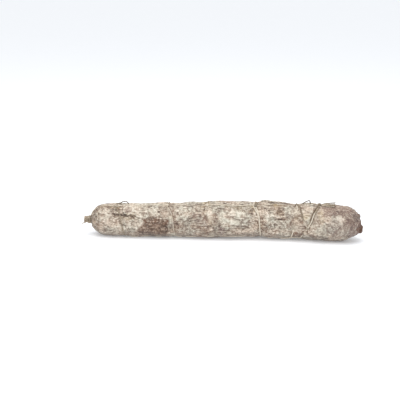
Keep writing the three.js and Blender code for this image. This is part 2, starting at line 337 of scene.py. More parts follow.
class Finish:
    """Builds the nodes of one material. Sizes of patterns are in millimetres of the piece itself."""

    def __init__(self, name: str) -> None:
        """Starts a material with its shader.

        Args:
            name: Name of the material.
        """
        self.material = bpy.data.materials.new(name)
        self.material.use_nodes = True
        self.nodes = self.material.node_tree.nodes
        self.links = self.material.node_tree.links
        self.shader = self.nodes["Principled BSDF"]
        self.place = self.node("TexCoord", {}).outputs["Object"]

    def feed(self, socket: Socket, value: Value) -> None:
        """Links an output to a socket, or sets the socket to a plain value.

        Args:
            socket: The socket to feed.
            value: Another node's output, or the value.
        """
        if isinstance(value, Socket):
            self.links.new(value, socket)
        else:
            socket.default_value = value

    def node(self, kind: str, inputs: dict[str | int, Value], **settings: str) -> bpy.types.Node:
        """Adds a node.

        Args:
            kind: Its type, without the words that all shader nodes share.
            inputs: What its sockets are fed, by their names or numbers.
            settings: Its other settings.

        Returns:
            The node.
        """
        node = self.nodes.new("ShaderNode" + kind)
        for name, value in settings.items():
            setattr(node, name, value)
        for socket, value in inputs.items():
            self.feed(node.inputs[socket], value)
        return node

    def dress(self, looks: dict[str, Value]) -> None:
        """Feeds the shader's own sockets, by their names."""
        for name, value in looks.items():
            self.feed(self.shader.inputs[name], value)

    def stretched(self, times: float, turn: tuple[float, float, float] = (0, 0, 0)) -> Socket:
        """The piece's own coordinates, turned in radians, and stretched along X by a number of times."""
        inputs = {"Scale": (1 / times, 1, 1), "Rotation": turn, "Vector": self.place}
        return self.node("Mapping", inputs).outputs["Vector"]

    def attribute(self, name: str) -> Socket:
        """A number stored on the piece's vertices."""
        return self.node("Attribute", {}, attribute_name=name).outputs["Fac"]

    def noise(
        self, size: float, detail: float = 3, roughness: float = 0.55, distortion: float = 0,
        at: Socket | None = None,
    ) -> Socket:
        """Cloudy noise around 0.5.

        Args:
            size: Size of its lumps in millimetres.
            detail: Count of finer layers.
            roughness: Strength of the finer layers.
            distortion: How far the pattern swirls.
            at: Coordinates, if not the piece's own.

        Returns:
            The noise.
        """
        return self.node("TexNoise", {
            "Vector": at or self.place, "Scale": 1 / MM / size, "Detail": detail, "Roughness": roughness,
            "Distortion": distortion,
        }).outputs["Fac"]

    def cells(self, size: float, at: Socket | None = None) -> Socket:
        """Distance to the nearest of many scattered points, in sizes of a cell."""
        inputs = {"Vector": at or self.place, "Scale": 1 / MM / size}
        return self.node("TexVoronoi", inputs).outputs["Distance"]

    def maths(self, operation: str, a: Value, b: Value) -> Socket:
        """One step of arithmetic on sockets or numbers."""
        return self.node("Math", {0: a, 1: b}, operation=operation).outputs[0]

    def times(self, *factors: Value) -> Socket:
        """The product of sockets or numbers."""
        return reduce(partial(self.maths, "MULTIPLY"), factors)

    def total(self, *terms: Value | tuple[float, Socket]) -> Socket:
        """The sum of sockets, and of (weight, socket) pairs."""
        values = [self.times(term[1], term[0]) if isinstance(term, tuple) else term for term in terms]
        return reduce(partial(self.maths, "ADD"), values)

    def ranged(self, value: Value, low: float, high: float, to_low: float = 0, to_high: float = 1) -> Socket:
        """A value carried smoothly from one range to another, and held inside it."""
        inputs = {"Value": value, "From Min": low, "From Max": high, "To Min": to_low, "To Max": to_high}
        return self.node("MapRange", inputs, interpolation_type="SMOOTHSTEP").outputs["Result"]

    def ramp(self, value: Value, stops: tuple[tuple[float, Colour], ...]) -> Socket:
        """A colour from a value.

        Args:
            value: The value.
            stops: Pairs of a position and a colour.

        Returns:
            The colour.
        """
        node = self.node("ValToRGB", {"Fac": value})
        elements = node.color_ramp.elements
        while len(elements) < len(stops):
            elements.new(0.5)
        for element, (position, colour) in zip(elements, stops):
            element.position = position
            element.color = linear(colour)
        return node.outputs["Color"]

    def mixed(self, amount: Value, under: Value, over: Value) -> Socket:
        """One colour laid over another by an amount."""
        return self.node("Mix", {"Factor": amount, 6: under, 7: over}, data_type="RGBA").outputs[2]

    def bump(self, height: Value, depth: float, strength: float) -> None:
        """Roughens the shader's surface by a share of a height, of which 1 is the depth in millimetres."""
        inputs = {"Distance": depth * MM, "Strength": strength, "Height": height}
        self.dress({"Normal": self.node("Bump", inputs).outputs["Normal"]})


def linear(colour: Colour) -> tuple[float, float, float, float]:
    """A colour in linear light from three sRGB bytes."""
    parts = [c / 255 for c in colour]
    return (*[p / 12.92 if p <= 0.04045 else ((p + 0.055) / 1.055) ** 2.4 for p in parts], 1.0)


@dataclass(frozen=True)
class Patch:
    """An area of the skin, outlined by (place, angle in degrees) corners, with a ragged edge.

    Its amounts are what it adds to the skin's looks where it is, by name.
    """

    corners: tuple[tuple[float, float], ...]
    edge: float
    ragged: float
    amounts: dict[str, float] = field(default_factory=dict)


@dataclass(frozen=True)
class Crease:
    """A furrow along (place, angle in degrees) points."""

    points: tuple[tuple[float, float], ...]
    depth: float
    half_width: float


PATCHES = {
    "bare": Patch((
        (92, 146), (91, 128), (94, 108), (98, 92), (99, 80), (97, 73), (101.7, 70), (107.9, 66), (114.1, 61),
        (117.3, 61), (120.7, 70), (127.3, 75), (136.9, 73), (139.3, 83), (140, 104), (138, 134), (134, 152),
        (118, 160), (98, 156),
    ), 1.4, 2.2, {"mould": -0.36, "worn": 0.5, "hue": -0.3}),
    "bare_low": Patch((
        (96, 116), (118, 112), (138, 116), (138, 134), (134, 152), (118, 160), (98, 156),
    ), 4, 4, {"mould": -0.12}),
    "back_bare": Patch((
        (206, 250), (240, 262), (262, 286), (250, 316), (214, 310), (196, 280),
    ), 2, 7, {"mould": -0.42}),
    "top_cream": Patch((
        (59, -20), (126, -24), (129, 10), (126, 50), (122, 62), (104, 60), (90, 58), (84, 40), (62, 14),
    ), 4, 4, {"mould": 0.11}),
    "cream": Patch((
        (222, 53), (241, 39), (254, 51), (256, 81), (248, 94), (229, 87), (221, 72),
    ), 4, 4, {"mould": 0.08, "hue": 0.4}),
    "end_brown": Patch((
        (381, 30), (384, 12), (400, -20), (425, -60), (446, -80), (447, 170), (436, 150), (423, 120),
        (424, 84), (416, 58), (404, 53), (399, 57), (386, 54),
    ), 3, 5, {"mould": -0.26, "mauve": 0.5, "worn": 0.4, "hue": -0.2}),
    "end_mauve": Patch((
        (396, 60), (414, 56), (430, 84), (430, 124), (400, 130), (388, 104),
    ), 5, 4, {"mauve": 0.35, "low": 0.45}),
    "reddish": Patch((
        (336, 118), (344, 112), (352, 117), (353, 138), (348, 146), (338, 142),
    ), 2, 3, {"mould": -0.28, "red": 0.55}),
    "rope_bed": Patch(((331, 94), (350, 90), (354, 100), (350, 112), (334, 112)), 3, 3, {"low": 0.4}),
    "mauve_spot": Patch((
        (220, 101), (228, 101), (229, 118), (224, 140), (219, 122),
    ), 1.5, 2.5, {"mauve": 0.9}),
    "mauve_flecks": Patch(((174, 50), (191, 54), (203, 75), (202, 107), (189, 92)), 3, 4, {"mauve": 0.35}),
}
NUB_PATCH = Patch((
    (434.6, 106), (436, 95), (438.4, 84), (439.2, 74), (442.5, 64), (447, 56), (447, 170), (440, 140),
    (437.6, 119),
), 1.2, 1.5)
OLIVE_PATCH = Patch(((309, 30), (321, 27), (324, 52), (320, 66), (310, 60)), 2, 3)
# A zone is a share and the patch that has it. Where zones of one kind overlap, the greatest share holds.
CALM_ZONES = (
    (0.8, Patch(((342, 86), (353, 82), (355, 95), (350, 104), (342, 100)), 2.5, 2)),
    (0.8, Patch(((351, 28), (365, 30), (361, 56), (356, 68), (352, 60)), 2.5, 2)),
    (0.3, Patch(((368, 46), (396, 54), (396, 112), (372, 118)), 4, 4)),
    (0.4, PATCHES["cream"]),
    (0.4, Patch(((126, 10), (146, 8), (152, 44), (148, 66), (132, 62)), 4, 4)),
    (0.4, Patch(((196, 20), (212, 20), (218, 66), (206, 72)), 4, 4)),
)
OCHRE_ZONES = (
    (0.8, Patch(((352, 46), (362, 46), (359, 68), (353, 70)), 2, 2)),
    (0.8, Patch(((375, 24), (381, 24), (383, 48), (385, 70), (382, 84), (377, 70), (375, 46)), 1.5, 2)),
    (1.0, Patch(((300, 22), (316, 12), (328, 14), (326, 26), (306, 32)), 1.5, 3)),
    (1.0, Patch(((228, 22), (280, 26), (280, 36), (230, 34)), 1.5, 3)),
    (1.0, Patch(((186, 4), (204, 4), (206, 34), (190, 36)), 2, 3)),
    (1.0, Patch(((44, 12), (58, 8), (58, 32), (46, 36)), 2, 3)),
    (0.6, Patch(((53, 52), (86, 54), (92, 72), (80, 76), (56, 68)), 2, 3)),
    (0.5, Patch(((242, 34), (260, 37), (272, 32), (280, 38), (277, 50), (263, 56), (252, 50)), 2, 3)),
    (0.4, OLIVE_PATCH),
)
# Dark zones thin the mould: partly wear and stains, partly painted shade beside the turns of twine, under the
# knots and low on the body.
DARK_ZONES = (
    (0.2, Patch(((53, 53), (64, 55), (79, 55), (86, 60), (90, 70), (82, 74), (72, 65), (60, 65)), 1.2, 2.0)),
    (0.26, Patch(((20, -20), (42, -18), (50, 6), (48, 30), (36, 36), (20, 40)), 4, 5)),
    (0.26, Patch(((135, -2), (148, 2), (149, 40), (146, 62), (138, 48)), 3, 4)),
    (0.34, Patch(((145, 70), (153, 74), (156, 100), (152, 130), (143, 124)), 2.5, 3)),
    (0.15, Patch(((147, 92), (166, 84), (196, 86), (212, 92), (219, 118), (214, 150), (149, 152)), 5, 6)),
    (0.14, PATCHES["mauve_flecks"]),
    (0.26, Patch(((196, 60), (200, 60), (202, 80), (197, 80)), 1.5, 2)),
    (0.42, Patch(((210, 58), (218, 56), (221, 80), (213, 86)), 2, 3)),
    (0.12, Patch(((229, 100), (264, 92), (273, 107), (270, 143), (228, 144)), 4, 4)),
    (0.32, Patch(((242, 36), (260, 39), (272, 34), (279, 38), (277, 47), (263, 54), (252, 48)), 2, 3)),
    (0.26, Patch(((286, 14), (289, 40), (288, 58), (293, 60), (290, 78), (286, 78)), 2, 3)),
    (0.2, Patch(((288, 80), (298, 80), (298, 107), (294, 120), (287, 124)), 2, 3)),
    (0.24, OLIVE_PATCH),
    (0.5, Patch(((298, 4), (322, 0), (338, -6), (338, 8), (324, 24), (300, 28)), 2, 3)),
    (0.16, Patch(((90, 44), (112, 46), (112, 60), (92, 58)), 3, 4)),
    (0.14, Patch(((362, 50), (378, 50), (380, 80), (366, 84)), 3, 4)),
    (0.4, Patch(((388, 86), (392, 86), (393, 108), (389, 110)), 1.2, 1.5)),
    (0.16, Patch(((380, 106), (388, 108), (388, 132), (378, 132)), 2.5, 3)),
    (0.5, Patch(((361, 126), (368, 121), (374, 126), (374, 138), (362, 138)), 1.5, 1.5)),
    (0.28, Patch(((324, 54), (334, 54), (342, 58), (342, 68), (328, 68)), 1.5, 3)),
    (0.24, Patch(((330, 76), (336, 76), (336, 84), (331, 85)), 1, 1.5)),
    (0.34, Patch(((348, 74), (358, 70), (358, 84), (352, 86)), 1.5, 2)),
    (0.34, Patch(((406, 80), (412, 80), (413, 106), (407, 106)), 1, 1.5)),
    (0.2, Patch(((396, 102), (418, 96), (434, 100), (432, 128), (418, 130), (396, 130)), 3, 4)),
    (0.26, Patch(((415, 82), (427, 80), (429, 106), (416, 106)), 2.5, 3)),
    (0.34, Patch(((436, -8), (446, -8), (446, 34), (436, 30)), 1.5, 1.5)),
)
PALE_ZONES = (
    (0.4, Patch(((297, 58), (311, 56), (314, 70), (310, 88), (300, 92), (298, 78)), 2.5, 3)),
    (0.16, Patch(((86, 74), (98, 72), (101, 86), (96, 98), (88, 90)), 2.5, 3)),
    (0.14, Patch(((396, 60), (414, 56), (416, 76), (404, 84), (397, 82)), 3, 3)),
    (0.1, Patch(((148, -4), (173, 6), (175, 42), (150, 42)), 4, 4)),
    (0.1, Patch(((186, -4), (202, 4), (203, 38), (190, 38)), 3, 3)),
    (0.1, Patch(((380, 66), (396, 64), (396, 98), (382, 100)), 4, 4)),
    (0.14, Patch(((351, 44), (362, 44), (360, 68), (353, 70)), 2.5, 2)),
    (0.12, Patch(((334, 96), (350, 92), (351, 108), (336, 112)), 2, 2)),
    (0.3, Patch(((66, 52), (82, 52), (82, 57), (66, 57)), 1.2, 1)),
    (0.14, Patch(((84, 60), (92, 58), (94, 74), (86, 76)), 2, 2)),
    (0.14, Patch(((195, 24), (201, 24), (206.5, 52), (211, 68), (204, 68), (199, 50)), 1.6, 1.5)),
    (0.08, PATCHES["cream"]),
)
CREASES = (
    Crease(((299.5, 77), (306, 73), (314, 71), (323.5, 73)), 1.1, 1.0),
    Crease(((240, 94), (248, 97), (257, 98), (266, 102)), 0.8, 1.0),
    Crease(((244, 103), (255, 104), (262, 107)), 0.6, 0.9),
    Crease(((262, 60), (270, 57), (279, 61)), 0.7, 0.8),
    Crease(((298, 46), (308, 44), (319, 48)), 0.7, 0.8),
    Crease(((306, 57), (313, 55), (322, 58)), 0.6, 0.8),
    Crease(((338.8, 60), (346, 72), (351.6, 85), (356.4, 92)), 0.5, 1.2),
    Crease(((52, 54), (55, 58), (60, 57)), 1.7, 1.2),
    Crease(((62, 58), (66, 60), (72, 58)), 1.8, 1.3),
    Crease(((70, 64), (76, 62), (80, 58)), 1.1, 0.9),
    Crease(((80, 62), (83, 66), (86, 74)), 1.1, 0.9),
    Crease(((85, 60), (88, 66), (94, 70)), 0.9, 0.8),
    Crease(((346.8, 24), (349.2, 40), (351, 62), (354, 76)), 0.6, 1.4),
)


@dataclass
class Skin:
    """The casing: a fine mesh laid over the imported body, with its relief and its cover of mould.

    The marks on it add up by name. A height in millimetres fades out at both tips, and a lasting one doesn't.
    The other names are looks that its finish reads. A number added to the points moves a pattern of noise, so
    that no two patterns match.
    """

    name: str = "salami_casing"
    node: str = "salami"
    columns: int = 168
    rows: int = 570
    spine: Spine = field(default_factory=Spine)
    cap_start: float = 415.0
    cap_arc: float = 47.0
    facet_blur: float = 1.9
    cap_blur: float = 0.8
    bearing_blur: float = 1.6
    seed: int = 11
    usual_mould: float = 0.66
    usual_hue: float = 0.48
    bridge_height: float = 1.15
    deepest_crease: float = 1.2
    blister: tuple[float, float] = (75.2, 41.0)
    lump: tuple[float, float] = (132.6, 108.0)
    dark_spot: tuple[float, float] = (124.2, 49.0)
    knob: tuple[float, float] = (439.5, -32.0)
    notch: tuple[tuple[float, float], ...] = (
        (432.3, 46), (437.1, 43), (439.6, 38), (441.1, 32), (442.6, 7), (444.5, -30),
    )
    nub_start: float = 433.5
    nub_radius: float = 11.8
    nub_middle: tuple[float, float, float] = (441.0, 156.0, 7.0)
    nub_face: tuple[float, float, float] = (224.1, -7.0, 22.0)

    def build(self) -> Piece:
        """Lays the skin, marks every form on it and writes its mesh.

        Returns:
            The piece.
        """
        self.angles = 2 * math.pi * np.arange(self.columns) / self.columns
        self.lay_over(self.tree_of(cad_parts[self.node]))
        self.coarse, self.fine, self.warp = (Noise(self.seed + i) for i in range(3))
        self.frays = [self.warp.fractal(self.points + shift, 9.0, 4) for shift in (0.0, 91.0)]
        swirl = [self.warp.at(self.points + shift, 11.0) for shift in (0.0, 53.0, 97.0)]
        self.swirled = self.points + 1.6 * np.stack(swirl, axis=-1)
        self.sums = defaultdict(float, mould=self.usual_mould, hue=self.usual_hue)
        self.mark_patches()
        self.mark_blunt_end()
        self.mark_pleats()
        self.mark_turns()
        self.mark_runs()
        self.mark_front()
        self.mark_patterns()
        self.finish_looks()
        self.raise_relief()
        return self.write()

    def cast(self, tree: BVHTree, travel: Array, angles: Array) -> tuple[Array, Array, Array]:
        """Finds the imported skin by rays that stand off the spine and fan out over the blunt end.

        Args:
            tree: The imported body.
            travel: Distances along the body, and then over its blunt end.
            angles: Angles around it.

        Returns:
            The start, direction and length of the ray for each distance and angle.
        """
        spots = self.spine.at(np.minimum(travel, self.cap_start))
        tilt = np.clip((travel - self.cap_start) / self.cap_arc, 0, 1) * math.pi / 2
        ahead = np.sin(tilt)[:, None, None] * np.array([1.0, 0.0, 0.0])
        directions = ahead + np.cos(tilt)[:, None, None] * outward(angles)[None]
        starts = np.broadcast_to(spots[:, None], directions.shape)
        reach = np.zeros(starts.shape[:2])
        for index in np.ndindex(*reach.shape):
            reach[index] = tree.ray_cast(Vector(starts[index]), Vector(directions[index]))[3] or 0.0
        return starts, directions, reach

    def tree_of(self, packed: Piece) -> BVHTree:
        """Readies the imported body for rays.

        Args:
            packed: Its object, in metres.

        Returns:
            Its faces, in millimetres.
        """
        bm = bmesh.new()
        bm.from_mesh(packed.data)
        bmesh.ops.remove_doubles(bm, verts=bm.verts, dist=1e-6)
        bmesh.ops.scale(bm, vec=Vector((1, 1, 1)) / MM, verts=bm.verts)
        tree = BVHTree.FromBMesh(bm)
        bm.free()
        return tree

    def lay_over(self, tree: BVHTree) -> None:
        """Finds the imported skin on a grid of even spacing, and rounds off its facets.

        Args:
            tree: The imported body.
        """
        tip = 2.0
        near_tip = tip * smooth(np.linspace(0, 1, 40)) ** 2
        travel = np.concatenate([near_tip[:-1], np.linspace(tip, self.cap_start + self.cap_arc, 900)])
        starts, directions, reach = self.cast(tree, travel, 2 * math.pi * np.arange(16) / 16)
        points = starts + directions * reach[..., None]
        steps = np.linalg.norm(np.diff(points, axis=0), axis=-1).mean(axis=1)
        length = np.concatenate([[0], np.cumsum(steps)])
        self.spacing = length[-1] / self.rows
        self.travel = np.interp(np.linspace(0, length[-1], self.rows + 1), length, travel)
        starts, directions, found = self.cast(tree, self.travel, self.angles)
        crisp = rise(self.travel, self.cap_start + 8, 8)[:, None]
        reach = blurred(found, self.facet_blur, self.spacing) * (1 - crisp)
        reach += blurred(found, self.cap_blur, self.spacing) * crisp
        reach[0] = reach[0].mean()
        reach[-1] = reach[-1].mean()
        self.points = starts + directions * reach[..., None]
        self.points[0, :, 0] = THIN_TIP_X
        self.normals = grid_normals(self.points)
        self.place = self.points[..., 0] - THIN_TIP_X
        self.around = np.broadcast_to(self.angles[None], reach.shape)
        self.girth = from_axis(self.points, self.spine.at(self.place))
        self.body = rise(self.girth, 6, 14)

    def mark(self, form: Array, **amounts: float) -> None:
        """Adds a form to the skin, by its amounts of height and of each look."""
        for name, amount in amounts.items():
            self.sums[name] = self.sums[name] + amount * form

    def athwart(self, degrees: float | Array, radius: float = BODY_RADIUS) -> Array:
        """Distances around the body from an angle in degrees."""
        return wrapped(self.around - np.radians(degrees)) * radius

    def from_spot(self, spot: tuple[float, float], width: float = 1.0) -> Array:
        """Distances over the slimmer half's skin from a (place, angle in degrees) spot of some width."""
        return np.hypot((self.place - spot[0]) / width, self.athwart(spot[1], SLIM_RADIUS))

    def cell(self, place: float, degrees: float) -> tuple[int, int]:
        """Row and column of the grid nearest to a place and an angle."""
        column = round(degrees / 360 * self.columns) % self.columns
        return int(np.abs(self.place[:, column] - place).argmin()), column

    def from_line(self, stations: tuple[tuple[float, float], ...]) -> Array:
        """Measures how far the skin is from a line over it.

        Args:
            stations: Places and angles in degrees along the line.

        Returns:
            The distance for each point of the grid.
        """
        corners = np.array([self.points[self.cell(*station)] for station in stations])
        at = np.linspace(0, len(corners) - 1, 40)
        line = [np.array([np.interp(t, range(len(corners)), corners[:, i]) for i in range(3)]) for t in at]
        return np.min([np.linalg.norm(self.points - spot, axis=-1) for spot in line], axis=0)

    def inside(self, patch: Patch) -> Array:
        """Measures how far inside a patch the skin is.

        Args:
            patch: The patch.

        Returns:
            The share for each point of the grid, from 0 to 1.
        """
        corners = np.array(patch.corners, float)
        middle = corners[:, 1].mean()
        across = self.athwart(middle) + 0.7 * patch.ragged * self.frays[0]
        along = self.place + 0.8 * patch.ragged * self.frays[1]
        x, y = corners[:, 0], np.radians(corners[:, 1] - middle) * BODY_RADIUS
        crossings = np.zeros(along.shape, bool)
        nearest = np.full(along.shape, np.inf)
        for (x1, y1), (x2, y2) in zip(zip(x, y), zip(np.roll(x, -1), np.roll(y, -1))):
            rises = (y1 > across) != (y2 > across)
            with np.errstate(divide="ignore", invalid="ignore"):
                cut = (x2 - x1) * (across - y1) / (y2 - y1) + x1
            crossings ^= rises & (along < cut)
            nearest = np.minimum(nearest, segment_distance(along, across, (x1, y1), (x2, y2)))
        signed = np.where(crossings, nearest, -nearest)
        return smooth(0.5 + signed / (2 * patch.edge))

    def strongest(self, zones: tuple[tuple[float, Patch], ...]) -> Array:
        """The greatest share that any of some (share, patch) zones has at each point of the skin."""
        return np.max([share * self.inside(patch) for share, patch in zones], axis=0)

    def creased(self, crease: Crease, warp: Array) -> Array:
        """Measures how deep in a furrow the skin is.

        Args:
            crease: The furrow.
            warp: How far it strays around the body, in millimetres.

        Returns:
            The depth for each point of the grid.
        """
        points = np.array(crease.points, float)
        middle = points[:, 1].mean()
        across = self.athwart(middle) + warp
        spots = np.stack([points[:, 0], np.radians(points[:, 1] - middle) * BODY_RADIUS], axis=-1)
        nearest = np.min([
            segment_distance(self.place, across, a, b) for a, b in zip(spots[:-1], spots[1:])
        ], axis=0)
        return crease.depth * bell(nearest / crease.half_width)

    def mark_patches(self) -> None:
        """Marks every patch by its own amounts, and the dark, pale and calm zones."""
        areas = {name: self.inside(patch) for name, patch in PATCHES.items()}
        for name, area in areas.items():
            self.mark(area, **PATCHES[name].amounts)
        self.bare = areas["bare"]
        # Painted shade with real wear and stains: the dark zones thin the mould and gather dark dabs.
        self.mark(self.strongest(DARK_ZONES), mould=-0.7, worn=1 / 0.3)
        self.mark(self.strongest(PALE_ZONES), mould=1.0)
        self.mark(self.strongest(CALM_ZONES), calm=1.0)

    def mark_blunt_end(self) -> None:
        """Marks the dried nub, the knob above it and the notch between them."""
        place, degrees, aside = self.nub_middle
        middle = self.spine.at(place) + outward(np.radians(degrees)) * aside
        start = self.nub_start - 1.5 * self.fine.at(self.points + 71, 4.0)
        nub = rise(from_axis(self.points, middle), self.nub_radius, -2.0) * rise(self.place, start, 3)
        self.nub = np.maximum(nub, self.inside(NUB_PATCH))
        self.mark(self.nub, lasting=-0.45, mould=-0.42, red=0.92)
        self.mark(self.nub * self.fine.fractal(self.points + 401, 4.0, 3), lasting=0.5)
        self.mark(self.nub * self.fine.fractal(self.points + 877, 6.0, 3), mould=-0.3)
        self.mark(self.nub * self.coarse.at(self.points + 455, 5.0), red=0.5)
        out = np.linalg.norm(self.points - self.points[self.cell(*self.knob)], axis=-1)
        out += 1.3 * self.warp.fractal(self.points + 61, 7.0, 2)
        self.mark(rise(out, 4.8, -1.8), lasting=2.0)
        # Painted shade in the groove round the knob and in the notch.
        self.mark(ring(out, 5.2, 0.9), lasting=-0.5, hollow=0.7)
        notch = bell(self.from_line(self.notch) / 1.3)
        self.mark(notch, lasting=-0.7, hollow=0.5)
        self.mark(notch * rise(self.place, 438, 5), lasting=-1.4)

    def mark_pleats(self) -> None:
        """Marks the pleats of both tips, the stained neck and the ribs round the blunt end."""
        lean = 3.0 * self.warp.at(self.points + 7, 14.0)
        neck_pleats = np.cos(19 * self.around + lean) * np.exp(-np.maximum(self.place - 12, 0) / 17)
        tip_pleats = np.cos(13 * self.around + lean) * np.exp((self.place - 446) / 13)
        self.mark(neck_pleats * rise(self.girth, 2, 4), lasting=0.36)
        self.mark(tip_pleats * rise(self.girth, 0, 12), lasting=0.42)
        self.mark(rise(self.place, 36, -26), mould=-0.26, ochre=0.25)
        travel = self.travel[:, None]
        clouds = self.coarse.fractal(self.points + 201, 22.0, 2, 1.6)
        ribs = np.sin(2 * math.pi * travel / 6.2 + 2.4 * self.warp.at(self.points + 3, 12.0))
        ribs = ribs * rise(travel, 421, 12) * rise(travel, 456, -8)
        self.mark(ribs * (1 + 0.4 * clouds), height=0.3)
        self.mark(clouds, mould=0.09)

    def mark_turns(self) -> None:
        """Marks the folds at the turns, and starts on their painted shade and bridges of mould."""
        self.folds, self.fans, self.bridges, self.beds, self.near_twine = np.zeros((5, *self.place.shape))
        for i, turn in enumerate(TURNS):
            away = self.place - turn.at(self.around)
            lean = 0.25 * away + 2.5 * self.warp.at(self.points + 13 * i, 17.0)
            self.folds += np.cos((15 + 2 * i) * self.around + lean) * bell(away / 9.0)
            patchy = 0.7 * self.coarse.at(self.points + 41 * i, 9.0)
            cover = smooth(turn.cover(self.around) * 1.5 - 0.35 + patchy)
            self.bridges = np.maximum(self.bridges, cover * ring(away, turn.ridge_shift, turn.ridge_width))
            self.near_twine = np.maximum(self.near_twine, bell(away / 3.4))
            # Painted shade along both sides of the turn, deeper on its shade side.
            for side in (-1, 1):
                strength = 0.3 + 0.5 * max(0.0, side * turn.shade_side)
                edge = turn.ridge_shift * cover + side * (2.0 + (turn.ridge_width - 1.8) * cover)
                if turn.ridge_shift == 0:
                    strength = strength * (1 - 0.85 * cover)
                self.beds = np.maximum(self.beds, strength * ring(away, edge, 0.9))
            knot_place, knot_angle = turn.knot()
            x, y = self.place - knot_place, self.athwart(knot_angle)
            spokes = np.cos(11 * np.arctan2(y, x) + 3.0 * self.warp.at(self.points + 29 * i, 9.0))
            self.fans += spokes * ring(np.hypot(x, y), 8, 5.5)

    def mark_runs(self) -> None:
        """Adds the beds and bridges of the two runs, and marks what all the twine does to the skin."""
        cover = smooth(0.35 + 1.3 * self.coarse.at(self.points + 17, 15.0))
        for course, first, last in ((TOP_RUN, 20, 372), (LOWER_RUN, 64, 350)):
            across = self.athwart(course.at(self.place))
            within = rise(self.place, first, 6) * rise(self.place, last, -6)
            self.bridges = np.maximum(self.bridges, within * cover * bell(across / 2.6))
            # Painted shade along both sides of the run.
            run_shade = ring(across, 1.9, 0.8) + 0.6 * ring(across, -1.9, 0.8)
            self.beds = np.maximum(self.beds, 0.6 * within * run_shade)
            self.near_twine = np.maximum(self.near_twine, within * bell(across / 3.0))
        self.mark(self.bridges, lasting=self.bridge_height, mould=0.07, calm=0.7, hue=0.25)
        self.mark(self.folds * (1 - self.bridges), height=0.3)
        self.mark(self.fans * (1 - 0.5 * self.bridges), height=0.4)
        # Painted shade in the gaps between the folds that fan from the knots.
        self.mark(smooth(-self.fans * 1.3 - 0.2), hollow=0.55)
        # The beds sink a little and are darkened with painted shade.
        patchy = smooth(0.55 + self.coarse.at(self.points + 811, 7.0))
        self.mark(self.beds * patchy * (1 - 0.6 * self.bridges), height=-0.3, hollow=1.0)

    def mark_front(self) -> None:
        """Marks the creases, the blister, the lump and the dark spot of the front."""
        warp = 0.9 * self.warp.at(self.points + 23, 7.0)
        creases = np.max([self.creased(crease, warp) for crease in CREASES], axis=0)
        # Painted shade in the creases.
        self.mark(creases, hollow=1.0)
        self.mark(np.minimum(creases, self.deepest_crease), height=-1.0)
        out = self.from_spot(self.blister)
        self.mark(rise(out, 7.0, -1.4), mould=0.08, mauve=0.6, calm=0.9)
        self.mark(bell(out / 5.0), height=-0.6)
        self.mark(ring(out, 7.4, 1.2), height=1.2)
        # Painted highlight on the blister's rim, and painted shade along its side towards the thin tip.
        self.mark(ring(out, 7.8, 0.9), mould=0.6)
        self.mark(ring(out, 9.3, 0.9) * rise(self.place, 74, -5), hollow=0.8)
        out = self.from_spot(self.lump)
        self.mark(rise(out, 6.4, -4.0), height=0.9)
        # Painted shade in the groove round the lump.
        self.mark(ring(out, 5.9, 0.9), height=-0.5, hollow=1.1)
        self.mark(bell(self.from_spot(self.dark_spot, 1.6)), hollow=2.4)

    def mark_patterns(self) -> None:
        """Marks the lumps, veins, cracks and wrinkles all over the skin, and lays its crust of mould."""
        coarse, fine, points, swirled = self.coarse, self.fine, self.points, self.swirled
        self.mark(coarse.at(points, 19.0, 1.6), height=0.42)
        self.mark(coarse.at(points + 11, 8.5, 1.3), height=0.3)
        # Veins and cracks sink and show darker: thinner mould over them, and painted shade.
        veins = bell(fine.at(swirled, 3.6, 4.5) / 0.14)
        self.mark(veins * smooth(0.55 + 1.8 * coarse.at(points + 77, 15.0)), height=-0.34, hollow=0.8)
        cracks = bell(fine.at(swirled + 31, 6.5, 1.2) / 0.09)
        self.mark(cracks * smooth(0.1 + 1.8 * coarse.at(points + 5, 21.0)), height=-0.3, hollow=0.6)
        wrinkles = fine.at(swirled + 63, 3.4, 5.0)
        self.mark(wrinkles * (1 + 0.8 * self.bare), height=0.2)
        # Painted shade in the troughs between the wrinkles.
        self.mark(smooth(-wrinkles * 1.5) * (0.5 + 0.5 * self.bare), hollow=0.3)
        blush = ring(self.around, math.radians(79), math.radians(11))
        self.mark(self.bare * blush * smooth(0.4 + 1.6 * coarse.at(points + 501, 7.0)), red=0.75)
        # Painted shade low on the body: below the sides the colour is dulled towards grey, and round the
        # bottom the mould is thinner.
        self.mark(rise(np.abs(wrapped(self.around)), 2.05, 0.45), low=1.0)
        self.mark(bell(wrapped(self.around - math.pi) / 1.1), mould=-0.1)
        self.mark(coarse.fractal(points + 701, 17.0, 3, 1.3), hue=0.8)
        self.mark(fine.fractal(swirled + 301, 8.0, 2, 2.2), mould=0.1)
        grain = fine.fractal(swirled + 19, 4.4, 3, 1.15)
        self.mark(grain, mould=0.13)
        crusted = rise(self.settled("mould"), 0.25, 0.35)
        self.mark(crusted * (1 + 0.8 * grain), height=0.3)

    def settled(self, look: str, most: float = 1.0) -> Array:
        """A look's sum, held between 0 and the most that it may be."""
        return np.clip(self.sums[look], 0.0, most)

